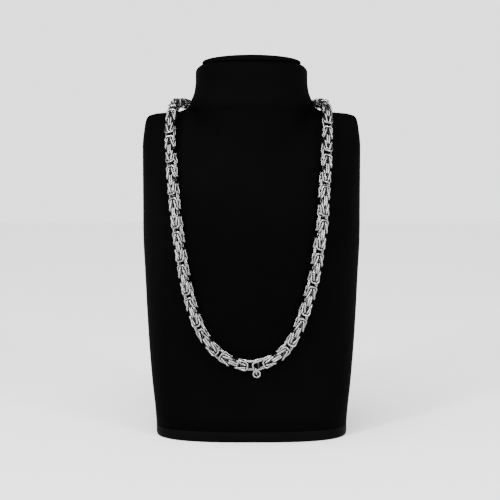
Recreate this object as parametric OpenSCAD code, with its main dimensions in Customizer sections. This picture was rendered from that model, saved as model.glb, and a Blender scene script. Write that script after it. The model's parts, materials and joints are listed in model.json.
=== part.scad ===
// Byzantine chain necklace laid round a plain neck bust.
// Millimetres. X is the bust's width, -Y its front, Z is up, and it stands on z = 0.

/* [Bust] */
// Height up to the top of the shoulders
shoulder_height = 255.5; // [230:0.5:290]
// Width across the shoulders
shoulder_width = 172; // [150:1:200]
// From the widest outline to the front of the chest
chest_front = 61; // [50:1:75]
// From the widest outline to the back
chest_back = 40; // [32:1:50]
// Width of the neck
neck_width = 87; // [76:0.5:98]
// Height of the neck above the shoulders
neck_height = 36.5; // [28:0.5:50]

/* [Base and cap] */
// Thickness of the plinth
plinth_height = 8.5; // [6:0.5:14]
// Height of the padded cap
cap_height = 7; // [4:0.5:12]
// How far the cap stays inside the side of the neck
cap_inset = 4.8; // [3.5:0.1:9]
// Seam between the bust and its plinth or cap
seam = 0.3; // [0.2:0.1:0.8]

/* [Chain] */
// Diameter of the link wire
wire_d = 1.37; // [1.3:0.01:1.4]
// Space between two wires that cross
wire_gap = 0.25; // [0.2:0.01:0.3]
// Extra play along the chain at each joint
joint_play = 0.13; // [0.1:0.01:0.2]
// Length of a link between its end wires
link_length = 8.7; // [8.5:0.01:9]
// Width of a link between its side wires
link_width = 6.3; // [6.2:0.01:6.5]
// Bend radius of a link's corners
corner_radius = 2.2; // [2:0.05:2.3]
// Half periods of links on each side of the centre
half_periods = 19; // [12:1:19]

/* [Centre] */
// Distance between the first joints of the two sides
centre_span = 15.6; // [15:0.1:16.5]
// Distance between the two end wires that cross at the centre
lens_width = 4.4; // [4.2:0.1:4.8]
// Outside diameter of the jump ring
ring_d = 6.4; // [6:0.1:9]
// Opening of the jump ring
ring_opening = 0.5; // [0.2:0.1:0.8]

/* [Nape] */
// Diameter of the plain stretch behind the neck
nape_d = 8; // [6:0.5:9]
// Length of the clasp
clasp_length = 20; // [14:1:30]
// Diameter of the clasp
clasp_d = 8; // [6:0.5:9]
// Space between the chain, its plain stretch and the clasp
nape_gap = 0.3; // [0.1:0.1:1]

/* [Hidden] */

bust_colour = [0.06, 0.06, 0.07];
plinth_colour = [0.04, 0.04, 0.045];
silver = [0.80, 0.80, 0.78];

bust_sides = 72;
torso_steps = 30;
neck_steps = 16;
blend_power = 8;
plinth_round = 1.6;
plinth_edge = 0.6;
cap_edge = 0.4;
cap_side = 0.2;
nape_sides = 10;
nape_steps = 9;
clasp_chamfer = 1;
spread_share = 1.8;
fold_play = 0.1;
bail_round = 1.7;

// The torso from the plinth to the shoulders. Shares of its height, half the shoulder width, the front
// and back depths and half the neck width. The corner column squares the plan.
// height, half width, front, back, corner, neck
torso_shares = [
    [0.00, 0.885, 0.665, 0.80, 2.8, 0.45],
    [0.04, 0.893, 0.69, 0.82, 2.7, 0.50],
    [0.10, 0.912, 0.735, 0.86, 2.6, 0.59],
    [0.23, 0.945, 0.83, 0.92, 2.3, 0.73],
    [0.36, 0.968, 0.92, 0.97, 2.1, 0.82],
    [0.49, 0.985, 0.985, 1.00, 2.0, 0.89],
    [0.62, 1.00, 1.01, 1.00, 2.0, 0.94],
    [0.72, 1.00, 0.965, 1.00, 2.0, 0.97],
    [0.81, 1.00, 0.83, 0.97, 2.0, 0.99],
    [0.89, 1.00, 0.60, 0.90, 2.0, 1.00],
    [0.94, 0.985, 0.39, 0.80, 2.0, 1.01],
    [0.97, 0.97, 0.25, 0.70, 2.1, 1.02],
    [0.985, 0.95, 0.18, 0.60, 2.2, 1.03],
    [0.995, 0.86, 0.15, 0.52, 2.2, 1.04],
    [0.998, 0.75, 0.15, 0.48, 2.2, 1.045],
    [1.00, 0.66, 0.16, 0.46, 2.2, 1.05]
];
// The neck from the shoulders to the cap, in the same columns with the height as a share of the neck's.
neck_shares = [
    [0.03, 0.60, 0.20, 0.48, 2.2, 1.06],
    [0.06, 0.55, 0.25, 0.52, 2.2, 1.07],
    [0.115, 0.50, 0.32, 0.58, 2.1, 1.08],
    [0.18, 0.46, 0.40, 0.62, 2.0, 1.08],
    [0.27, 0.42, 0.45, 0.65, 2.0, 1.06],
    [0.38, 0.40, 0.50, 0.68, 2.0, 1.025],
    [0.50, 0.40, 0.50, 0.68, 2.0, 1.005],
    [0.62, 0.39, 0.50, 0.68, 2.0, 0.995],
    [0.84, 0.39, 0.50, 0.68, 2.0, 0.995],
    [0.90, 0.38, 0.48, 0.66, 2.0, 0.975],
    [0.96, 0.36, 0.45, 0.62, 2.0, 0.93],
    [1.00, 0.33, 0.40, 0.55, 2.0, 0.87]
];
// Places on the chain's line, from the nape over one shoulder, across the chest and back to the nape. Each has
// its turn about the bust's middle, where 90 is the front, its height as a share of the torso's, or above 1 of
// the neck's, its distance from the bust's skin in link widths, and the way that its face looks.
// turn, height, distance, face's turn from the front, face's tilt upward
route = [
    [-90, 1.068, 1.01, 174, 83],
    [-70.6, 1.075, 0.9, 170, 83],
    [-51.2, 1.09, 0.88, 163, 83],
    [-31.7, 1.118, 0.86, 171, 82],
    [-13.9, 1.186, 0.98, 144, 86],
    [3, 1.152, 1.32, 25, 73],
    [16, 0.99, 2.45, 13, 39],
    [26.6, 0.922, 1.59, 19, 34],
    [33.9, 0.863, 1.11, 23, 27],
    [39.7, 0.797, 0.93, 26, 18],
    [43.4, 0.728, 0.79, 27, 9],
    [45.5, 0.66, 0.85, 27, 4],
    [47.7, 0.589, 0.84, 25, -2],
    [49.4, 0.518, 0.89, 24, -4],
    [51.8, 0.447, 0.82, 21, -5],
    [55.4, 0.378, 0.88, 17, -6],
    [60.3, 0.309, 0.83, 12, -8],
    [69.4, 0.252, 0.87, 8, -8],
    [87, 0.222, 0.97, 2, -10],
    [104, 0.232, 0.9, -6, -9],
    [116.8, 0.27, 0.85, -10, -9],
    [124.7, 0.331, 0.92, -16, -7],
    [129, 0.398, 0.88, -21, -5],
    [132, 0.469, 0.86, -25, -4],
    [133.9, 0.538, 0.83, -27, -3],
    [135.8, 0.609, 0.76, -29, 0],
    [137.7, 0.678, 0.83, -29, 5],
    [140.9, 0.747, 0.79, -30, 11],
    [145, 0.814, 0.92, -29, 18],
    [150.8, 0.877, 1.19, -25, 27],
    [157.9, 0.936, 1.97, -19, 33],
    [166.9, 0.994, 2.71, -13, 41],
    [178.4, 1.161, 1.7, -18, 74],
    [-166.1, 1.191, 1.28, 170, 87],
    [-148.2, 1.116, 0.93, 166, 83],
    [-129, 1.09, 0.86, -178, 86],
    [-109.4, 1.075, 0.85, -178, 86],
    [-90, 1.068, 1.01, -179, 86]
];
route_centre = 18;
route_steps = 8;

// The bust's heights and sections
torso_bottom = plinth_height + seam;
torso_height = shoulder_height - torso_bottom;
neck_top = shoulder_height + neck_height;
size_shares = [shoulder_width / 2, chest_front, chest_back, 1, neck_width / 2];
sections = concat(
    [for (r = torso_shares) section(torso_bottom + r[0] * torso_height, r)],
    [for (r = neck_shares) section(shoulder_height + r[0] * neck_height, r)]
);
function section(z, r) = [z, [for (i = [0:4]) r[i + 1] * size_shares[i]]];

// A smooth curve through the sections that stays between neighbours
function rise(i) = (sections[i + 1][1] - sections[i][1]) / (sections[i + 1][0] - sections[i][0]);
function tame(a, b) = [for (k = [0:4]) a[k] * b[k] <= 0 ? 0 : 2 * a[k] * b[k] / (a[k] + b[k])];
function slope(i) =
    i == 0 ? rise(0)
    : i == len(sections) - 1 ? rise(i - 1)
    : tame(rise(i - 1), rise(i));
function span(z, i = 0) = i >= len(sections) - 2 || z < sections[i + 1][0] ? i : span(z, i + 1);
function between(i, t, h) =
    (2 * pow(t, 3) - 3 * pow(t, 2) + 1) * sections[i][1]
    + (pow(t, 3) - 2 * pow(t, 2) + t) * h * slope(i)
    + (3 * pow(t, 2) - 2 * pow(t, 3)) * sections[i + 1][1]
    + (pow(t, 3) - pow(t, 2)) * h * slope(i + 1);
function shape_in(z, i) =
    let (h = sections[i + 1][0] - sections[i][0])
    between(i, (z - sections[i][0]) / h, h);
function shape_at(z) =
    let (level = min(max(z, torso_bottom), neck_top))
    shape_in(level, span(level));

// A point of the bust's skin: the torso's squared ellipse blended into the round neck
function blend(a, b) = pow(pow(a, blend_power) + pow(b, blend_power), 1 / blend_power);
function plan_radius(s, c, n, e) = pow(pow(c / s[0], e) + pow(n / s[1], e), -1 / e);
function reach(turn, s) =
    blend(plan_radius([s[0], sin(turn) > 0 ? s[1] : s[2]], abs(cos(turn)), abs(sin(turn)), s[3]), s[4]);
function ring_point(turn, s, z) = [reach(turn, s) * cos(turn), -reach(turn, s) * sin(turn), z];

// Vector helpers
function unit(v) = v / norm(v);
function blend_four(a, b, c, d, t) =
    b + 0.5 * t * (c - a)
    + t * t * (a - 2.5 * b + 2 * c - 0.5 * d)
    + pow(t, 3) * (1.5 * (b - c) + 0.5 * (d - a));

// The chain's centre line and the way that its face looks, at even steps of the route
function row_at(i) = route[min(max(i, 0), len(route) - 1)];
function look(row) = [sin(row[3]) * cos(row[4]), -cos(row[3]) * cos(row[4]), sin(row[4])];
function height_at(share) =
    share > 1 ? shoulder_height + (share - 1) * neck_height : torso_bottom + share * torso_height;
function out_at(row) = reach(row[0], shape_at(height_at(row[1]))) + row[2] * link_width;

// Moves the bust and the route back, so that the box round the whole is centred on the origin
chain_front = out_at(route[route_centre]) + link_width / 2 + wire_d;
front_reach = max(concat([for (r = torso_shares) r[2] * chest_front], [chain_front]));
back_reach = out_at(route[0]) + clasp_d / 2;
middle_y = (front_reach - back_reach) / 2;
function spot(row) =
    [out_at(row) * cos(row[0]), middle_y - out_at(row) * sin(row[0]), height_at(row[1])];
last_step = (len(route) - 1) * route_steps;
function step_row(k) = min(floor(k / route_steps), len(route) - 2);
function smooth(a, b, c, d, k) = blend_four(a, b, c, d, k / route_steps - step_row(k));
line = [
    for (k = [0:last_step])
        let (i = step_row(k))
        smooth(spot(row_at(i - 1)), spot(row_at(i)), spot(row_at(i + 1)), spot(row_at(i + 2)), k)
];
faces = [
    for (k = [0:last_step])
        let (i = step_row(k))
        unit(smooth(look(row_at(i - 1)), look(row_at(i)), look(row_at(i + 1)), look(row_at(i + 2)), k))
];
function run(k, sum = 0, out = []) =
    k > last_step ? out
    : run(k + 1, sum + (k < last_step ? norm(line[k + 1] - line[k]) : 0), concat(out, [sum]));
lengths = run(0);
centre_run = lengths[route_centre * route_steps];
function column(values, c) = [for (k = [0:last_step]) [lengths[k], values[k][c]]];
line_columns = [for (c = [0:2]) column(line, c)];
face_columns = [for (c = [0:2]) column(faces, c)];
function place(s) = [for (c = [0:2]) lookup(s, line_columns[c])];
function facing(s) = unit([for (c = [0:2]) lookup(s, face_columns[c])]);

// The weave. The centres of two wires that cross lie at least module_d apart.
module_d = wire_d + wire_gap;
joint_d = module_d + joint_play;
spread = spread_share * module_d;
fold_reach = link_width / 2 + fold_play;
outer_tilt = asin((spread - module_d / 2) / link_length);
outer_hook = min(module_d, sqrt(
    pow(corner_radius + module_d, 2) - pow(spread - link_width / 2 + corner_radius, 2)
) - corner_radius);
fold_tilt = asin((fold_reach - module_d / 2) / link_length);
outer_step = link_length * cos(outer_tilt) - joint_d / 2 - outer_hook;
inner_step = link_length - 1.5 * joint_d;
half_period = outer_step + inner_step;

// A joint's distance along the line from the centre, counted outward
function joint_run(k) = centre_span / 2 + floor(k / 2) * half_period + (k % 2) * outer_step;
function joint(side, k) = place(centre_run + side * joint_run(k));

// A size to the nearest 0.02 mm, so that the bends and straights of a link meet
function neat(size) = round(size / 0.02) * 0.02;

// The centre, where the last pairs of the two sides cross and hold the bail link between them
centre_reach = (centre_span + joint_d + lens_width) / 2;
lens_spread = link_width / 2;
lens_tilt = atan((lens_spread - module_d / 2) / centre_reach);
lens_middle = module_d / 2 + tan(lens_tilt) * (centre_reach - lens_width / 2);
open_length = neat(centre_reach / cos(lens_tilt));
ring_radius = (ring_d - wire_d) / 2;
ring_top = link_width / 2 + sqrt(pow(module_d, 2) - pow(module_d / 2, 2));
bail_half = neat(lens_middle + module_d + joint_play);
bail_top = neat(link_width / 2 - module_d);
bail_bottom = neat(ring_top + module_d);

// The plain stretch of each side, from its last link to the clasp
route_end = lengths[last_step];
nape_start = joint_run(2 * half_periods) + (joint_d + wire_d) / 2 + nape_gap;
function side_length(side) = side > 0 ? route_end - centre_run : centre_run;
function nape_run(side, i) =
    nape_start + (side_length(side) - clasp_length / 2 - nape_gap - nape_start) * i / nape_steps;
function nape_way(side, i) =
    let (run = centre_run + side * nape_run(side, i))
    i == nape_steps ? [side, 0, 0] : unit(place(run + side) - place(run - side));
function nape_ring(side, i) =
    let (
        c = place(centre_run + side * nape_run(side, i)),
        d = nape_way(side, i),
        v = unit(cross(d, facing(centre_run + side * nape_run(side, i)))),
        u = cross(v, d)
    )
    [for (k = [0:nape_sides - 1])
        c + nape_d / 2 * (cos(360 * k / nape_sides) * u + sin(360 * k / nape_sides) * v)];

// Lays its children at o, with X along the chain, Z near the way that its face looks and Y across
module laid(o, along, face) {
    x = unit(along);
    y = unit(cross(face, x));
    z = cross(x, y);
    multmatrix([
        [x[0], y[0], z[0], o[0]],
        [x[1], y[1], z[1], o[1]],
        [x[2], y[2], z[2], o[2]],
        [0, 0, 0, 1]
    ]) children();
}

// Lays its children from joint k, with X outward
module at_joint(side, k) {
    a = joint(side, k);
    b = joint(side, k + 1);
    slack = (norm(b - a) - (k % 2 == 0 ? outer_step : inner_step)) / 2;
    laid(a + slack * unit(b - a), b - a, facing(centre_run + side * (joint_run(k) + joint_run(k + 1)) / 2))
        children();
}

// Lays its children at the centre, with X toward a side's first joint
module at_centre(side) {
    c = place(centre_run);
    laid(c, joint(side, 0) - c, facing(centre_run)) children();
}

// Lays its children at the centre, with X along the whole chain and Y downward
module at_middle() {
    laid(place(centre_run), joint(1, 0) - joint(-1, 0), facing(centre_run)) children();
}

// A closed link of round wire, long in X and flat in the XY plane: a bend and a straight at each corner
module wire_link(length, width, radius) {
    for (corner = [0:3], part = ["bend", "straight"])
        translate([
            (corner == 0 || corner == 3 ? 1 : -1) * (length / 2 - radius),
            (corner < 2 ? 1 : -1) * (width / 2 - radius),
            0
        ])
            rotate(corner * 90)
                if (part == "bend")
                    rotate_extrude(angle = 90) translate([radius, 0]) circle(d = wire_d);
                else
                    translate([0, radius, 0]) rotate([0, -90, 0])
                        cylinder(d = wire_d, h = (corner % 2 == 0 ? length : width) - 2 * radius);
}

module chain_link(length = link_length) {
    wire_link(length, link_width, corner_radius);
}

// A link of the outer pair, which opens outward along the chain
module outer_link(s) {
    translate([link_length * cos(outer_tilt) / 2 - joint_d / 2, 0, s * (spread + module_d / 2) / 2])
        rotate([0, -s * outer_tilt, 0]) chain_link();
}

// A link of the folded pair, which hangs back from the outer pair's far end
module folded_link(s) {
    translate([outer_step - link_length * cos(fold_tilt) / 2, 0, s * (fold_reach + module_d / 2) / 2])
        rotate([0, s * fold_tilt, 0]) chain_link();
}

// A link of the inner pair, which starts between the folded pair's ends
module inner_link(s) {
    translate([link_length / 2 - joint_d, 0, s * module_d / 2]) chain_link();
}

// The centre's links: a narrow pair from one side, and a pair from the other side that opens round it
module narrow_link(s) {
    translate([(centre_reach - lens_width) / 2, 0, s * module_d / 2]) chain_link(neat(centre_reach));
}

module open_link(s) {
    translate([(centre_reach - lens_width) / 2, 0, s * (lens_spread + module_d / 2) / 2])
        rotate([0, s * lens_tilt, 0]) chain_link(open_length);
}

// One link of half a period k: the outer, folded or inner pair's link s
module weave_link(side, k, pair, s) {
    quarter = k % 2 == 0 ? 90 : 0;
    if (pair == 0) at_joint(side, 2 * k) rotate([quarter, 0, 0]) outer_link(s);
    if (pair == 1) at_joint(side, 2 * k) rotate([quarter + 90, 0, 0]) folded_link(s);
    if (pair == 2) at_joint(side, 2 * k + 1) rotate([quarter, 0, 0]) inner_link(s);
}

// Rings of points stacked into one closed skin
module stacked(rings) {
    sides = len(rings[0]);
    last = len(rings) - 1;
    polyhedron(
        points = [for (ring = rings, p = ring) p],
        faces = concat(
            [[for (i = [0:sides - 1]) i]],
            [for (k = [0:last - 1], i = [0:sides - 1]) [
                k * sides + i,
                (k + 1) * sides + i,
                (k + 1) * sides + (i + 1) % sides,
                k * sides + (i + 1) % sides
            ]],
            [[for (i = [sides - 1:-1:0]) last * sides + i]]
        )
    );
}

// A ring of the bust's section at a level, drawn at height z and grown outward
function plan_ring(level, z, grow = 0) =
    let (s = shape_at(level))
    [for (i = [0:bust_sides - 1])
        let (turn = -i * 360 / bust_sides)
        (1 + grow / reach(turn, s)) * ring_point(turn, s, 0) + [0, middle_y, z]];

module display_bust() {
    tops = concat(
        [for (k = [0:torso_steps - 1]) torso_bottom + torso_height * sin(90 * k / torso_steps)],
        [for (k = [0:neck_steps]) shoulder_height + neck_height * (1 - cos(180 * k / neck_steps)) / 2]
    );
    color(bust_colour) stacked([for (z = tops) plan_ring(z, z)]);
}

module base_plinth() {
    color(plinth_colour) stacked(concat(
        [for (a = [0:30:90])
            plan_ring(torso_bottom, plinth_round * (1 - cos(a)), plinth_round * (sin(a) - 1))],
        [for (a = [0:45:90])
            plan_ring(torso_bottom, plinth_height + plinth_edge * (sin(a) - 1), plinth_edge * (cos(a) - 1))]
    ));
}

module neck_cap() {
    radius = neck_width / 2 - cap_inset;
    height = cap_height - seam;
    color(bust_colour) translate([0, middle_y, neck_top + seam]) rotate_extrude() polygon(concat(
        [[0, 0], [radius - cap_edge, 0], [radius, cap_edge]],
        [for (a = [0:9:81]) [radius * cos(a), height * (cap_side + (1 - cap_side) * sin(a))]],
        [[0, height]]
    ));
}

// One side of the chain: its centre pair, its woven links and its plain stretch
module chain_side(side) {
    color(silver) {
        for (s = [-1, 1]) at_centre(side) if (side > 0) narrow_link(s); else open_link(s);
        for (k = [0:half_periods - 1], pair = [0:2], s = [-1, 1]) weave_link(side, k, pair, s);
        stacked([for (i = [0:nape_steps]) nape_ring(side, i)]);
    }
}

module right_chain() {
    chain_side(-1);
}

module left_chain() {
    chain_side(1);
}

// Hangs over the lower wires of the centre pairs
module bail_link() {
    color(silver) at_middle()
        translate([0, (bail_top + bail_bottom) / 2, 0])
            rotate([0, 90, 0]) wire_link(2 * bail_half, bail_bottom - bail_top, bail_round);
}

module jump_ring() {
    opening = 360 * ring_opening / (2 * PI * ring_radius);
    color(silver) at_middle() translate([0, ring_top + ring_radius, 0])
        rotate(opening / 2 - 90) rotate_extrude(angle = 360 - opening)
            translate([ring_radius, 0]) circle(d = wire_d);
}

module clasp() {
    half = clasp_length / 2;
    color(silver) translate(place(0)) rotate([0, 90, 0]) rotate_extrude() polygon([
        [0, -half], [clasp_d / 2 - clasp_chamfer, -half], [clasp_d / 2, clasp_chamfer - half],
        [clasp_d / 2, half - clasp_chamfer], [clasp_d / 2 - clasp_chamfer, half], [0, half]
    ]);
}

display_bust();
base_plinth();
neck_cap();
right_chain();
left_chain();
bail_link();
jump_ring();
clasp();
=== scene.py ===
import json
import logging
import math
from contextlib import contextmanager
from dataclasses import dataclass
from enum import Enum
from typing import Any, Callable, Iterator

import bpy
from mathutils import Matrix, Vector

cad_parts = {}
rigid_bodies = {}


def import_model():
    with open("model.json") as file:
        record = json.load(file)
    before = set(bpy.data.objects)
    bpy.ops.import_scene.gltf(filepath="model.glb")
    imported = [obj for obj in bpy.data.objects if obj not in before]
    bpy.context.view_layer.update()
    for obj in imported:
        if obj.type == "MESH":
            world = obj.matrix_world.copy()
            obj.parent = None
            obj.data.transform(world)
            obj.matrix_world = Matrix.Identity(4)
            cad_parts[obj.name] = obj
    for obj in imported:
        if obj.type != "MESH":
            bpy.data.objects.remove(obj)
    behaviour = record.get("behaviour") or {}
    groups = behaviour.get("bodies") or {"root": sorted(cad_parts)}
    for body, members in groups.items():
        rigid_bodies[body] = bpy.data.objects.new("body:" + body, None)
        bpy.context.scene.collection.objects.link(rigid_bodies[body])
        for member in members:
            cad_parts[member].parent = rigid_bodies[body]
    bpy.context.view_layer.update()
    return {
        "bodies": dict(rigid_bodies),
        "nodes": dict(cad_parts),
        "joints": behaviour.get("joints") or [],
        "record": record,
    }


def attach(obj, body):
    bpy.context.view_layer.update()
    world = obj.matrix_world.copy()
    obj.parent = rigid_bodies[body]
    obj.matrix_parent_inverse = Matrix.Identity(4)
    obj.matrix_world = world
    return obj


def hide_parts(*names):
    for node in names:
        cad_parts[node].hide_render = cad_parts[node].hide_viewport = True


MM = 0.001
BODY = "root"
# Attribute for how deep in the weave a point lies; the silver darkens with it as painted shade.
RECESS = "recess"
TO_METRES = Matrix.Scale(MM, 4)
MERGE_DISTANCE = 0.01 * MM
LOG = logging.getLogger("necklace")


class Slot(Enum):
    """The record's material slots."""

    BUST = "bust_velvet"
    PLINTH = "plinth_black"
    SILVER = "silver"


class Side(Enum):
    """The two halves of the chain, with their sense along its route."""

    RIGHT = -1
    LEFT = 1


class Pair(Enum):
    """The three pairs of links that make half a period of the weave."""

    OUTER = "outer"
    FOLDED = "folded"
    INNER = "inner"


# Shader helpers


class Wire:
    """One output socket, with Python's operators as Math nodes."""

    def __init__(self, shader: "Shader", socket: bpy.types.NodeSocket | None) -> None:
        """Keeps the socket and the shader that it belongs to."""
        self.shader = shader
        self.socket = socket

    def _math(self, operation: str, first: Any, second: Any) -> "Wire":
        """Adds a Math node.

        Args:
            operation: The node's operation.
            first: Its first value or wire.
            second: Its second value or wire.

        Returns:
            The node's value.
        """
        return self.shader.node("ShaderNodeMath", {"operation": operation}, {0: first, 1: second})

    def __add__(self, other: Any) -> "Wire":
        """Adds."""
        return self._math("ADD", self, other)

    def __radd__(self, other: Any) -> "Wire":
        """Adds, with the plain number first."""
        return self._math("ADD", other, self)

    def __sub__(self, other: Any) -> "Wire":
        """Subtracts."""
        return self._math("SUBTRACT", self, other)

    def __mul__(self, other: Any) -> "Wire":
        """Multiplies."""
        return self._math("MULTIPLY", self, other)


class Shader:
    """The node tree of one material or world under construction."""

    def __init__(self, owner: bpy.types.Material | bpy.types.World) -> None:
        """Empties the owner's node tree.

        Args:
            owner: The new material or world.
        """
        owner.use_nodes = True
        self.owner = owner
        self.tree = owner.node_tree
        self.tree.nodes.clear()

    def node(self, kind: str, settings: dict[str, Any], inputs: dict[Any, Any], output: Any = 0) -> Wire:
        """Adds one node.

        Args:
            kind: The node's type.
            settings: Its own settings.
            inputs: Values or wires, by socket name or number.
            output: The socket that is returned.

        Returns:
            The wanted output, which is empty for the tree's end node.
        """
        made = self.tree.nodes.new(kind)
        for key, value in settings.items():
            setattr(made, key, value)
        for key, value in inputs.items():
            if isinstance(value, Wire):
                self.tree.links.new(value.socket, made.inputs[key])
            else:
                made.inputs[key].default_value = value
        return Wire(self, made.outputs[output] if made.outputs else None)

    def coordinates(self) -> Wire:
        """Gives the piece's Object coordinates."""
        return self.node("ShaderNodeTexCoord", {}, {}, "Object")

    def noise(self, scale: float, detail: float = 2.0, roughness: float = 0.5) -> Wire:
        """Adds noise in Object coordinates.

        Args:
            scale: Cycles a metre.
            detail: Octaves.
            roughness: Weight of the finer octaves.

        Returns:
            A value about 0.5.
        """
        return self.node("ShaderNodeTexNoise", {}, {
            "Vector": self.coordinates(), "Scale": scale, "Detail": detail, "Roughness": roughness,
        })

    def ramp(self, value: Wire, low: float, high: float) -> Wire:
        """Stretches a value so that it runs from 0 at low to 1 at high.

        Args:
            value: The value.
            low: Where the result starts.
            high: Where it ends.

        Returns:
            The stretched value, held between 0 and 1.
        """
        return self.node("ShaderNodeMapRange", {"clamp": True, "interpolation_type": "SMOOTHSTEP"}, {
            "Value": value, "From Min": low, "From Max": high,
        })

    def mix_colour(self, factor: Wire, first: tuple[float, ...], second: Any) -> Wire:
        """Blends two colours.

        Args:
            factor: The share of the second colour.
            first: The first colour.
            second: The second colour, or a wire of it.

        Returns:
            The blended colour.
        """
        return self.node("ShaderNodeMix", {"data_type": "RGBA"}, {0: factor, 6: first, 7: second}, 2)

    def bump(self, height: Wire, distance: float, strength: float = 1.0) -> Wire:
        """Turns a height into a normal.

        Args:
            height: The height as a share of the distance.
            distance: The relief in metres.
            strength: How much of it shows.

        Returns:
            The bent normal.
        """
        return self.node("ShaderNodeBump", {}, {
            "Height": height, "Distance": distance, "Strength": strength,
        })

    def finish(self, values: dict[str, Any]) -> bpy.types.Material:
        """Adds the surface and the output.

        Args:
            values: The surface's sockets, by name.

        Returns:
            The finished material.
        """
        surface = self.node("ShaderNodeBsdfPrincipled", {}, values)
        self.node("ShaderNodeOutputMaterial", {}, {"Surface": surface})
        return self.owner


# Finishes


@dataclass(frozen=True)
class SilverFinish:
    """Polished silver wire, its colour darkened with painted shade in the depths of the weave, where the
    links shade one another.
    """

    name: str = "polished_silver"
    bright: tuple[float, ...] = (0.23, 0.23, 0.23, 1.0)
    # The colour of the painted shade deep in the weave.
    dark: tuple[float, ...] = (0.04, 0.04, 0.041, 1.0)
    smooth: float = 0.16
    dull: float = 0.36
    painted_shade_start: float = 0.15
    painted_shade_end: float = 0.95
    painted_shade_drift: float = 0.25
    cloud_scale: float = 270.0
    scratch_scale: float = 900.0
    scratch_depth: float = 0.00001
    scratch_strength: float = 0.5
    scratch_haze: float = 0.12

    def build(self) -> bpy.types.Material:
        """Builds the material."""
        shader = Shader(bpy.data.materials.new(self.name))
        depth = shader.node("ShaderNodeAttribute", {"attribute_name": RECESS}, {}, "Fac")
        cloud = shader.noise(self.cloud_scale)
        # Painted shade: the colour darkens toward the depths of the weave, where the links shade one another,
        # and the gloss dulls with it.
        painted_shade = shader.ramp(depth + (cloud - 0.5) * self.painted_shade_drift, self.painted_shade_start, self.painted_shade_end)
        scratch = shader.noise(self.scratch_scale, detail=4.0, roughness=0.65)
        gloss = self.smooth + painted_shade * (self.dull - self.smooth)
        return shader.finish({
            "Base Color": shader.mix_colour(painted_shade, self.bright, self.dark),
            "Metallic": 1.0,
            "Roughness": gloss + (scratch - 0.5) * self.scratch_haze,
            "Normal": shader.bump(scratch, self.scratch_depth, self.scratch_strength),
        })


@dataclass(frozen=True)
class FlockFinish:
    """Short black flock, with a fine grain and a faint uneven nap."""

    name: str = "black_flock"
    base: tuple[float, ...] = (0.0005, 0.0005, 0.00055, 1.0)
    nap: tuple[float, ...] = (0.001, 0.001, 0.0011, 1.0)
    grain_scale: float = 1400.0
    grain_depth: float = 0.00006
    grain_strength: float = 0.6
    grain_share: float = 0.3
    cloud_scale: float = 9.0
    cloud_start: float = 0.3
    cloud_end: float = 0.75
    roughness: float = 0.82
    roughness_drift: float = 0.15
    specular: float = 0.01

    def build(self) -> bpy.types.Material:
        """Builds the material."""
        shader = Shader(bpy.data.materials.new(self.name))
        grain = shader.noise(self.grain_scale, roughness=0.6)
        cloud = shader.noise(self.cloud_scale, detail=3.0, roughness=0.55)
        patch = shader.ramp(cloud, self.cloud_start, self.cloud_end)
        worn = patch * (1 - self.grain_share) + grain * self.grain_share
        return shader.finish({
            "Base Color": shader.mix_colour(worn, self.base, self.nap),
            "Roughness": self.roughness + (grain - 0.5) * self.roughness_drift,
            "Specular IOR Level": self.specular,
            "Normal": shader.bump(grain, self.grain_depth, self.grain_strength),
        })


@dataclass(frozen=True)
class PlinthFinish:
    """Smooth matte black board."""

    name: str = "black_board"
    base: tuple[float, ...] = (0.0006, 0.0006, 0.00065, 1.0)
    worn: tuple[float, ...] = (0.0012, 0.0012, 0.0013, 1.0)
    wear_scale: float = 60.0
    wear_start: float = 0.5
    wear_end: float = 0.8
    roughness: float = 0.6
    roughness_drift: float = 0.15
    specular: float = 0.02
    grain_scale: float = 500.0
    grain_depth: float = 0.00002
    grain_strength: float = 0.4

    def build(self) -> bpy.types.Material:
        """Builds the material."""
        shader = Shader(bpy.data.materials.new(self.name))
        marks = shader.noise(self.wear_scale, detail=4.0, roughness=0.6)
        wear = shader.ramp(marks, self.wear_start, self.wear_end)
        return shader.finish({
            "Base Color": shader.mix_colour(wear, self.base, self.worn),
            "Roughness": self.roughness + wear * self.roughness_drift,
            "Specular IOR Level": self.specular,
            "Normal": shader.bump(shader.noise(self.grain_scale), self.grain_depth, self.grain_strength),
        })


@dataclass(frozen=True)
class PaperFinish:
    """White studio paper."""

    name: str = "studio_paper"
    base: tuple[float, ...] = (0.93, 0.93, 0.93, 1.0)
    grain: tuple[float, ...] = (0.9, 0.9, 0.9, 1.0)
    grain_scale: float = 40.0
    roughness: float = 0.9
    specular: float = 0.1

    def build(self) -> bpy.types.Material:
        """Builds the material."""
        shader = Shader(bpy.data.materials.new(self.name))
        shade = shader.noise(self.grain_scale, detail=3.0)
        return shader.finish({
            "Base Color": shader.mix_colour(shade, self.base, self.grain),
            "Roughness": self.roughness,
            "Specular IOR Level": self.specular,
        })


# Bench work


def deselect() -> None:
    """Leaves every object unselected."""
    bpy.ops.object.select_all(action="DESELECT")


def select_only(pieces: list[bpy.types.Object]) -> None:
    """Selects some objects and makes the first one active.

    Args:
        pieces: The objects.
    """
    deselect()
    for piece in pieces:
        piece.select_set(True)
    bpy.context.view_layer.objects.active = pieces[0]


@contextmanager
def editing(piece: bpy.types.Object) -> Iterator[None]:
    """Opens a piece in edit mode with nothing selected.

    Args:
        piece: The piece to shape.

    Yields:
        Nothing, while the piece is open.
    """
    select_only([piece])
    bpy.ops.object.mode_set(mode="EDIT")
    bpy.ops.mesh.select_mode(type="VERT")
    bpy.ops.mesh.select_all(action="DESELECT")
    yield
    bpy.ops.object.mode_set(mode="OBJECT")


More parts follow.
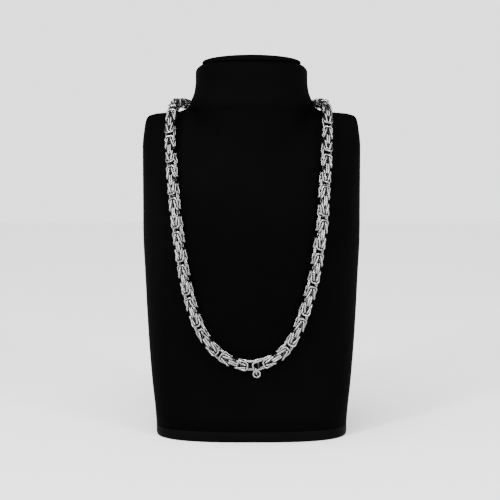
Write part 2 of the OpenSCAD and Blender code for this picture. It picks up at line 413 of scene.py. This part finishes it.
def pick(piece: bpy.types.Object, test: Callable[[Vector], bool]) -> None:
    """Selects the vertices of an open piece that pass a test of their place.

    Args:
        piece: The piece, in edit mode.
        test: Says of a vertex's place whether it is wanted.
    """
    bpy.ops.mesh.select_all(action="DESELECT")
    bpy.ops.object.mode_set(mode="OBJECT")
    for vertex in piece.data.vertices:
        vertex.select = test(vertex.co)
    bpy.ops.object.mode_set(mode="EDIT")


def join(pieces: list[bpy.types.Object], name: str) -> bpy.types.Object:
    """Joins pieces into one whose object lies at the origin.

    Args:
        pieces: What is joined.
        name: The joined piece's name.

    Returns:
        The joined piece.
    """
    select_only(pieces)
    if len(pieces) > 1:
        bpy.ops.object.join()
    bpy.ops.object.transform_apply(location=True, rotation=True, scale=True)
    piece = bpy.context.view_layer.objects.active
    piece.name = name
    piece.data.name = name
    return piece


def placed_copy(pattern: bpy.types.Object, place: Matrix) -> bpy.types.Object:
    """Copies a modelled shape, with its own mesh, to a place.

    Args:
        pattern: The shape.
        place: Where the copy goes.

    Returns:
        The copy.
    """
    copy = pattern.copy()
    copy.data = pattern.data.copy()
    bpy.context.collection.objects.link(copy)
    copy.matrix_world = place
    return copy


def hand_over(piece: bpy.types.Object, slot: Slot, material: bpy.types.Material, *nodes: str) -> None:
    """Gives a piece its finish and its body, and reports it.

    Args:
        piece: The finished piece.
        slot: The record's slot for its finish. Not used.
        material: Its material.
        nodes: The nodes of the frame that it stands for.
    """
    piece.data.materials.clear()
    piece.data.materials.append(material)
    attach(piece, BODY)
    if nodes:
        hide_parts(*nodes)
    LOG.info("%s: %d faces", piece.name, len(piece.data.polygons))


def smoothed_node(frame: dict[str, Any], node: str, name: str, angle: float) -> bpy.types.Object:
    """Copies a node's shape, merges its loose triangles and shades it smooth.

    Args:
        frame: The loaded frame.
        node: The node's name.
        name: The copy's name.
        angle: The sharpest edge that is shaded smooth, in degrees.

    Returns:
        The smoothed copy.
    """
    piece = placed_copy(frame["nodes"][node], Matrix.Identity(4))
    piece.parent = None
    piece.name = name
    with editing(piece):
        bpy.ops.mesh.select_all(action="SELECT")
        bpy.ops.mesh.remove_doubles(threshold=MERGE_DISTANCE)
    bpy.ops.object.shade_smooth_by_angle(angle=math.radians(angle))
    return piece


# The chain


@dataclass
class Route:
    """The line that the chain follows round the bust, in millimetres and degrees.

    Each place is x, y, z and the way that the chain's face looks: turn from the front and tilt upward.
    """

    places: tuple[tuple[float, ...], ...] = (
        (0, 55.31, 257.98, 174, 83),
        (17.4, 51.72, 258.24, 170, 83),
        (32.88, 43.19, 258.79, 163, 83),
        (44.93, 30.05, 259.81, 171, 82),
        (52.51, 15.3, 262.29, 144, 86),
        (56.89, -0.68, 261.05, 25, 73),
        (58.55, -14.49, 253.03, 13, 39),
        (57.68, -26.58, 236.26, 19, 34),
        (56.81, -35.87, 221.7, 23, 27),
        (55.45, -43.73, 205.42, 26, 18),
        (53.95, -48.71, 188.4, 27, 9),
        (53.05, -51.68, 171.62, 27, 4),
        (50.51, -53.21, 154.11, 25, -2),
        (48.02, -53.72, 136.59, 24, -4),
        (44.05, -53.67, 119.08, 21, -5),
        (38.97, -54.19, 102.05, 17, -6),
        (31.94, -53.69, 85.03, 12, -8),
        (21.04, -53.67, 70.97, 8, -8),
        (2.96, -54.22, 63.57, 2, -10),
        (-13.97, -53.73, 66.03, -6, -9),
        (-28.02, -53.17, 75.41, -10, -9),
        (-38.45, -53.23, 90.46, -16, -7),
        (-44.54, -52.7, 106.99, -21, -5),
        (-49.04, -52.16, 124.5, -25, -4),
        (-51.98, -51.72, 141.53, -27, -3),
        (-54.5, -50.7, 159.04, -29, 0),
        (-56.56, -49.17, 176.06, -29, 5),
        (-58.46, -45.2, 193.09, -30, 11),
        (-59.97, -39.69, 209.61, -29, 18),
        (-61.33, -31.97, 225.16, -25, 27),
        (-62.32, -23, 239.71, -19, 33),
        (-61.6, -12.03, 254.02, -13, 41),
        (-59.23, 0.65, 261.38, -18, 74),
        (-54.3, 15.74, 262.47, 170, 87),
        (-45.25, 30.36, 259.73, 166, 83),
        (-32.94, 42.98, 258.79, -178, 86),
        (-17.3, 51.42, 258.24, -178, 86),
        (0, 55.31, 257.98, -179, 86),
    )
    centre_place: int = 18
    steps: int = 8

    def __post_init__(self) -> None:
        """Works out the smooth line, its faces and its running length."""
        spots = [Vector(p[:3]) for p in self.places]
        looks = [self._look(p[3], p[4]) for p in self.places]
        last = (len(spots) - 1) * self.steps
        self.line = [self._smooth(spots, k) for k in range(last + 1)]
        self.faces = [self._smooth(looks, k).normalized() for k in range(last + 1)]
        self.lengths = [0.0]
        for a, b in zip(self.line, self.line[1:]):
            self.lengths.append(self.lengths[-1] + (b - a).length)
        self.centre_run = self.lengths[self.centre_place * self.steps]

    @staticmethod
    def _look(turn: float, tilt: float) -> Vector:
        """Gives the way of a face.

        Args:
            turn: Degrees from the front.
            tilt: Degrees upward.

        Returns:
            A unit vector.
        """
        t, e = math.radians(turn), math.radians(tilt)
        return Vector((math.sin(t) * math.cos(e), -math.cos(t) * math.cos(e), math.sin(e)))

    def _smooth(self, rows: list[Vector], k: int) -> Vector:
        """Blends four rows about one step of the line.

        Args:
            rows: A row for each place.
            k: The step.

        Returns:
            The blended row.
        """
        i = min(k // self.steps, len(rows) - 2)
        t = k / self.steps - i
        a, b, c, d = (rows[min(max(j, 0), len(rows) - 1)] for j in range(i - 1, i + 3))
        return (b + 0.5 * t * (c - a) + t * t * (a - 2.5 * b + 2 * c - 0.5 * d)
                + t ** 3 * (1.5 * (b - c) + 0.5 * (d - a)))

    def _at(self, rows: list[Vector], run: float) -> Vector:
        """Reads a row at a running length.

        Args:
            rows: A row for each step.
            run: The length along the line.

        Returns:
            The row there.
        """
        run = min(max(run, 0.0), self.lengths[-1])
        k = next(i for i in range(len(self.lengths) - 1) if self.lengths[i + 1] >= run)
        share = (run - self.lengths[k]) / (self.lengths[k + 1] - self.lengths[k])
        return rows[k].lerp(rows[k + 1], share)

    def place(self, run: float) -> Vector:
        """Gives the line's place at a running length."""
        return self._at(self.line, run)

    def face(self, run: float) -> Vector:
        """Gives the way that the chain's face looks at a running length."""
        return self._at(self.faces, run).normalized()

    def side_length(self, side: Side) -> float:
        """Gives the length from the centre to the nape's middle on one side."""
        return self.lengths[-1] - self.centre_run if side is Side.LEFT else self.centre_run


def laid(origin: Vector, along: Vector, face: Vector) -> Matrix:
    """Gives a frame with X along the chain, Z near the way of its face and Y across.

    Args:
        origin: Where it lies.
        along: The way of X.
        face: The way that Z is near.

    Returns:
        The frame, in millimetres.
    """
    x = along.normalized()
    y = face.cross(x).normalized()
    z = x.cross(y)
    return Matrix(((x[0], y[0], z[0], origin[0]), (x[1], y[1], z[1], origin[1]),
                   (x[2], y[2], z[2], origin[2]), (0, 0, 0, 1)))


@dataclass
class Weave:
    """The byzantine weave of round wire links along a route, in millimetres."""

    route: Route
    wire_d: float = 1.37
    shown_wire_d: float = 1.44
    wire_gap: float = 0.25
    joint_play: float = 0.13
    spread_share: float = 1.8
    fold_play: float = 0.1
    link_length: float = 8.7
    link_width: float = 6.3
    corner_radius: float = 2.2
    centre_span: float = 15.6
    lens_width: float = 4.4
    bends: int = 16
    wire_sides: int = 6
    # The painted shade in the weave is full inside depth_start and gone beyond depth_end, as shares of the
    # weave's half thickness.
    depth_start: float = 0.45
    depth_end: float = 0.97

    def __post_init__(self) -> None:
        """Works out the steps and tilts of the weave."""
        self.module = self.wire_d + self.wire_gap
        self.joint = self.module + self.joint_play
        self.spread = self.spread_share * self.module
        self.fold_reach = self.link_width / 2 + self.fold_play
        self.half_thickness = self.fold_reach + self.wire_d / 2
        self.outer_tilt = math.asin((self.spread - self.module / 2) / self.link_length)
        over = self.spread - self.link_width / 2 + self.corner_radius
        hook = math.sqrt((self.corner_radius + self.module) ** 2 - over ** 2) - self.corner_radius
        self.fold_tilt = math.asin((self.fold_reach - self.module / 2) / self.link_length)
        outer_run = self.link_length * math.cos(self.outer_tilt)
        self.outer_step = outer_run - self.joint / 2 - min(self.module, hook)
        self.inner_step = self.link_length - 1.5 * self.joint
        self.half_period = self.outer_step + self.inner_step
        self.centre_reach = (self.centre_span + self.joint + self.lens_width) / 2
        self.lens_spread = self.link_width / 2
        self.lens_tilt = math.atan((self.lens_spread - self.module / 2) / self.centre_reach)

    def joint_run(self, k: int) -> float:
        """Gives a joint's distance along the line from the centre."""
        return self.centre_span / 2 + (k // 2) * self.half_period + (k % 2) * self.outer_step

    def joint_frame(self, side: Side, k: int) -> Matrix:
        """Gives the frame of the stretch that starts at a joint.

        Args:
            side: The half of the chain.
            k: The joint, counted outward.

        Returns:
            The frame, in millimetres, with X outward.
        """
        start, end = self.joint_run(k), self.joint_run(k + 1)
        a = self.route.place(self.route.centre_run + side.value * start)
        b = self.route.place(self.route.centre_run + side.value * end)
        step = self.outer_step if k % 2 == 0 else self.inner_step
        slack = ((b - a).length - step) / 2
        face = self.route.face(self.route.centre_run + side.value * (start + end) / 2)
        return laid(a + slack * (b - a).normalized(), b - a, face)

    def centre_frame(self, side: Side) -> Matrix:
        """Gives the centre's frame with X toward a side's first joint."""
        middle = self.route.place(self.route.centre_run)
        first = self.route.place(self.route.centre_run + side.value * self.joint_run(0))
        return laid(middle, first - middle, self.route.face(self.route.centre_run))

    def in_pair(self, pair: Pair, half: int) -> Matrix:
        """Gives a link's place in the frame of its joint.

        Args:
            pair: Which pair it belongs to.
            half: 1 or -1, which of the two it is.

        Returns:
            The place, in millimetres.
        """
        tight = self.module / 2
        if pair is Pair.OUTER:
            shift = self.link_length * math.cos(self.outer_tilt) / 2 - self.joint / 2
            rise, tilt = (self.spread + tight) / 2, -self.outer_tilt
        elif pair is Pair.FOLDED:
            shift = self.outer_step - self.link_length * math.cos(self.fold_tilt) / 2
            rise, tilt = (self.fold_reach + tight) / 2, self.fold_tilt
        else:
            shift = self.link_length / 2 - self.joint
            rise, tilt = tight, 0.0
        return Matrix.Translation((shift, 0, half * rise)) @ Matrix.Rotation(half * tilt, 4, "Y")

    def link(self, length: float, name: str) -> bpy.types.Object:
        """Models one closed wire link, long in X and flat in the XY plane.

        Args:
            length: The length between its end wires.
            name: The link's name.

        Returns:
            The link, in millimetres.
        """
        half_bend = math.pi / self.bends
        deselect()
        bpy.ops.mesh.primitive_torus_add(
            major_segments=self.bends, minor_segments=self.wire_sides,
            major_radius=self.corner_radius / math.cos(half_bend),
            minor_radius=self.shown_wire_d / 2 / math.cos(math.pi / self.wire_sides / 2))
        link = bpy.context.view_layer.objects.active
        link.name = name
        with editing(link):
            bpy.ops.mesh.select_all(action="SELECT")
            bpy.ops.transform.rotate(value=half_bend, orient_axis="Z", center_override=(0, 0, 0))
            for axis, size in ((0, length), (1, self.link_width)):
                for way in (-1, 1):
                    pick(link, lambda place: place[axis] * way > 0)
                    move = [0.0, 0.0, 0.0]
                    move[axis] = way * (size / 2 - self.corner_radius)
                    bpy.ops.transform.translate(value=move)
        bpy.ops.object.shade_smooth()
        return link

    def mark_depth(self, link: bpy.types.Object, place: Matrix) -> None:
        """Marks how deep in the weave each vertex of a link lies.

        Args:
            link: The link, not yet placed.
            place: Its place in the frame of its joint.
        """
        values = []
        for vertex in link.data.vertices:
            at = place @ vertex.co
            out = max(abs(at.y), abs(at.z)) / self.half_thickness
            values.append(min(max((self.depth_end - out) / (self.depth_end - self.depth_start), 0.0), 1.0))
        # These marks drive the silver's painted shade in the depths of the weave.
        marks = link.data.attributes.new(RECESS, "FLOAT", "POINT")
        marks.data.foreach_set("value", values)

    def stretch(self, side: Side, first: int, last: int, name: str) -> bpy.types.Object:
        """Weaves a run of half periods.

        Args:
            side: The half of the chain.
            first: The first half period.
            last: The one after the last.
            name: The finished piece's name.

        Returns:
            The woven links as one piece.
        """
        links = []
        for pair in Pair:
            for half in (-1, 1):
                local = self.in_pair(pair, half)
                pattern = self.link(self.link_length, f"{pair.value}_link")
                self.mark_depth(pattern, local)
                for k in range(first, last):
                    frame = self.joint_frame(side, 2 * k + (1 if pair is Pair.INNER else 0))
                    quarters = (1 if k % 2 == 0 else 0) + (1 if pair is Pair.FOLDED else 0)
                    turn = Matrix.Rotation(quarters * math.pi / 2, 4, "X")
                    links.append(placed_copy(pattern, TO_METRES @ frame @ turn @ local))
                bpy.data.objects.remove(pattern)
        if first == 0:
            links += self.centre_pair(side)
        return join(links, name)

    def centre_pair(self, side: Side) -> list[bpy.types.Object]:
        """Makes the last pair of a side, which crosses the other side's at the centre.

        Args:
            side: The half of the chain.

        Returns:
            The two links.
        """
        shift = (self.centre_reach - self.lens_width) / 2
        narrow = side is Side.LEFT
        rise = self.module / 2 if narrow else (self.lens_spread + self.module / 2) / 2
        tilt = 0.0 if narrow else self.lens_tilt
        links = []
        for half in (-1, 1):
            local = Matrix.Translation((shift, 0, half * rise)) @ Matrix.Rotation(half * tilt, 4, "Y")
            pattern = self.link(self.centre_reach / math.cos(tilt), "centre_link")
            self.mark_depth(pattern, local)
            links.append(placed_copy(pattern, TO_METRES @ self.centre_frame(side) @ local))
            bpy.data.objects.remove(pattern)
        return links


@dataclass
class Necklace:
    """The chain with its centre, its hidden stretch and its clasp."""

    frame: dict[str, Any]
    weave: Weave
    seen_halves: int = 19
    clasp_length: float = 20.0
    clasp_d: float = 8.0
    collar_overlap: float = 2.5
    collar_wall: float = 0.5
    collar_sides: int = 32
    end_room: float = 1.0
    groove_edges: tuple[float, ...] = (-0.28, -0.24, 0.24, 0.28)
    groove_zone: tuple[float, float] = (0.2, 0.3)
    groove_waist: float = 0.92
    edge_width: float = 0.5
    edge_segments: int = 2
    edge_angle: float = 50.0
    smooth_angle: float = 35.0

    def build(self) -> None:
        """Builds and dresses every silver piece."""
        silver = SilverFinish().build()
        collars = []
        for side, node in ((Side.RIGHT, "right_chain"), (Side.LEFT, "left_chain")):
            halves = self.nape_halves(side)
            links = self.weave.stretch(side, 0, self.seen_halves, f"{side.name.lower()}_links")
            nape = self.weave.stretch(side, self.seen_halves, halves, f"{side.name.lower()}_nape_links")
            hand_over(join([links, nape], f"{side.name.lower()}_links"), Slot.SILVER, silver, node)
            collars.append(self.collar(side, halves))
        clasp = join([self.barrel(), *collars], "barrel_clasp")
        bpy.ops.object.shade_smooth_by_angle(angle=math.radians(self.smooth_angle))
        hand_over(clasp, Slot.SILVER, silver, "clasp")
        for name in ("bail_link", "jump_ring"):
            self.dress_node(name, silver)

    def dress_node(self, node: str, material: bpy.types.Material) -> None:
        """Gives a node of the frame its material."""
        for slot in self.frame["nodes"][node].material_slots:
            slot.material = material
        LOG.info("%s: dressed", node)

    def nape_halves(self, side: Side) -> int:
        """Gives how many half periods fit between the centre and the clasp's collar."""
        room = self.weave.route.side_length(side) - self.clasp_length / 2 - self.weave.centre_span / 2
        return int((room - self.end_room) / self.weave.half_period)

    def collar(self, side: Side, halves: int) -> bpy.types.Object:
        """Models the cup that holds the chain's end at the clasp.

        Args:
            side: The half of the chain.
            halves: The half periods woven on it.

        Returns:
            The cup, in metres.
        """
        route = self.weave.route
        start = self.weave.joint_run(2 * halves) - self.collar_overlap
        end = route.side_length(side) - self.clasp_length / 2
        a = route.place(route.centre_run + side.value * start)
        b = Vector((-side.value * self.clasp_length / 2, *route.places[0][1:3]))
        length = (b - a).length
        frame = laid((a + b) / 2, a - b, Vector((0, 0, 1))) @ Matrix.Rotation(math.pi / 2, 4, "Y")
        deselect()
        bpy.ops.mesh.primitive_cylinder_add(vertices=self.collar_sides, radius=self.clasp_d / 2, depth=length)
        cup = bpy.context.view_layer.objects.active
        with editing(cup):
            pick(cup, lambda place: place.z > 0)
            bpy.ops.mesh.select_mode(type="FACE")
            bpy.ops.mesh.inset(thickness=self.collar_wall, depth=0.0)
            bpy.ops.mesh.extrude_region_move(TRANSFORM_OT_translate={"value": (0, 0, -self.collar_overlap)})
            bpy.ops.mesh.select_all(action="SELECT")
            bpy.ops.mesh.normals_make_consistent(inside=False)
        cup.matrix_world = TO_METRES @ frame
        LOG.info("collar %s: %.1f mm long, ends at run %.1f", side.name.lower(), length, end)
        return cup

    def barrel(self) -> bpy.types.Object:
        """Models the clasp's barrel, with bevelled ends and two turned grooves.

        Returns:
            The barrel, in metres.
        """
        centre = Vector(self.weave.route.places[0][:3])
        near, far = self.groove_zone
        deselect()
        bpy.ops.mesh.primitive_cylinder_add(
            vertices=self.collar_sides, radius=self.clasp_d / 2, depth=self.clasp_length)
        barrel = bpy.context.view_layer.objects.active
        with editing(barrel):
            for level in self.groove_edges:
                bpy.ops.mesh.select_all(action="SELECT")
                bpy.ops.mesh.bisect(plane_co=(0, 0, level * self.clasp_length), plane_no=(0, 0, 1))
            for way in (-1, 1):
                pick(barrel, lambda place: near < way * place.z / self.clasp_length < far)
                bpy.ops.transform.resize(
                    value=(self.groove_waist, self.groove_waist, 1), center_override=(0, 0, 0))
        bevel = barrel.modifiers.new("edge", "BEVEL")
        bevel.width = self.edge_width
        bevel.segments = self.edge_segments
        bevel.angle_limit = math.radians(self.edge_angle)
        select_only([barrel])
        bpy.ops.object.modifier_apply(modifier="edge")
        barrel.matrix_world = TO_METRES @ Matrix.Translation(centre) @ Matrix.Rotation(math.pi / 2, 4, "Y")
        return barrel


@dataclass
class DisplayBust:
    """The plain black bust, its plinth and its padded cap."""

    frame: dict[str, Any]
    smooth_angle: float = 40.0

    def build(self) -> None:
        """Smooths and dresses the three pieces."""
        flock = FlockFinish().build()
        board = PlinthFinish().build()
        for node, name, slot, material in (
            ("display_bust", "bust_cover", Slot.BUST, flock),
            ("neck_cap", "cap_pad", Slot.BUST, flock),
            ("base_plinth", "plinth_board", Slot.PLINTH, board),
        ):
            piece = smoothed_node(self.frame, node, name, self.smooth_angle)
            hand_over(piece, slot, material, node)


# The studio


@dataclass(frozen=True)
class SoftLight:
    """One tall soft light: its middle and its width and height in metres, and its power in watts."""

    name: str
    place: tuple[float, ...]
    size: tuple[float, float]
    power: float


@dataclass
class Studio:
    """The pale floor, the soft lights and the camera, in metres."""

    floor_size: float = 6.0
    camera_place: tuple[float, ...] = (-0.0012, -0.9066, 0.220)
    camera_target: tuple[float, ...] = (-0.0012, 0.0024, 0.146)
    focal_length: float = 82.5
    sensor: float = 36.0
    band_low: float = 0.12
    band_high: float = 0.4
    band_strength: float = 2.2
    sky_strength: float = 0.3
    overhead_place: tuple[float, ...] = (-0.2, -0.7, 1.6)
    overhead_strength: float = 6.3
    overhead_width: float = 60.0
    soft_lights: tuple[SoftLight, ...] = (
        SoftLight("key", (-0.75, -1.0, 0.55), (0.16, 0.9), 22.0),
        SoftLight("fill", (0.8, -0.95, 0.5), (0.16, 0.9), 17.0),
    )

    def build(self) -> None:
        """Sets up the whole studio."""
        self.lay_floor()
        self.light_world()
        for light in self.soft_lights:
            self.stand(light)
        self.hang_sun()
        self.set_camera()

    def lay_floor(self) -> None:
        """Lays the paper floor."""
        deselect()
        bpy.ops.mesh.primitive_plane_add(size=self.floor_size, location=(0, 0, 0))
        floor = bpy.context.view_layer.objects.active
        floor.name = "floor"
        floor.data.materials.append(PaperFinish().build())

    def light_world(self) -> None:
        """Lights the scene with a grey sky over a bright band all round the horizon."""
        world = bpy.data.worlds.new("studio")
        bpy.context.scene.world = world
        shader = Shader(world)
        way = shader.node("ShaderNodeTexCoord", {}, {}, "Generated")
        height = shader.node("ShaderNodeSeparateXYZ", {}, {0: way}, "Z")
        strength = shader.node("ShaderNodeMapRange", {"interpolation_type": "SMOOTHSTEP"}, {
            "Value": height, "From Min": self.band_low, "From Max": self.band_high,
            "To Min": self.band_strength, "To Max": self.sky_strength,
        })
        sky = shader.node("ShaderNodeBackground", {}, {"Color": (1, 1, 1, 1), "Strength": strength})
        shader.node("ShaderNodeOutputWorld", {}, {"Surface": sky})

    def stand(self, light: SoftLight) -> None:
        """Stands one soft light that looks at the chest.

        Args:
            light: The light.
        """
        data = bpy.data.lights.new(light.name, "AREA")
        data.shape = "RECTANGLE"
        data.size, data.size_y = light.size
        data.energy = light.power
        self.aim(bpy.data.objects.new(light.name, data), light.place)

    def hang_sun(self) -> None:
        """Hangs the wide overhead light that whitens the floor."""
        data = bpy.data.lights.new("overhead", "SUN")
        data.energy = self.overhead_strength
        data.angle = math.radians(self.overhead_width)
        self.aim(bpy.data.objects.new("overhead", data), self.overhead_place)

    def aim(self, thing: bpy.types.Object, place: tuple[float, ...]) -> None:
        """Puts a light in its place and turns it to the chest.

        Args:
            thing: The light.
            place: Where it goes.
        """
        bpy.context.collection.objects.link(thing)
        thing.location = place
        way = Vector(self.camera_target) - Vector(place)
        thing.rotation_euler = way.to_track_quat("-Z", "Y").to_euler()

    def set_camera(self) -> None:
        """Places the camera at the photograph's viewing angle."""
        data = bpy.data.cameras.new("camera")
        data.lens = self.focal_length
        data.sensor_width = self.sensor
        camera = bpy.data.objects.new("camera", data)
        bpy.context.collection.objects.link(camera)
        camera.location = self.camera_place
        way = Vector(self.camera_target) - Vector(self.camera_place)
        camera.rotation_euler = way.to_track_quat("-Z", "Y").to_euler()
        bpy.context.scene.camera = camera


def main() -> None:
    """Builds the bust, the necklace and the studio."""
    logging.basicConfig(level=logging.INFO, format="%(name)s: %(message)s")
    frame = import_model()
    DisplayBust(frame).build()
    Necklace(frame, Weave(Route())).build()
    Studio().build()


if __name__ == "__main__":
    main()
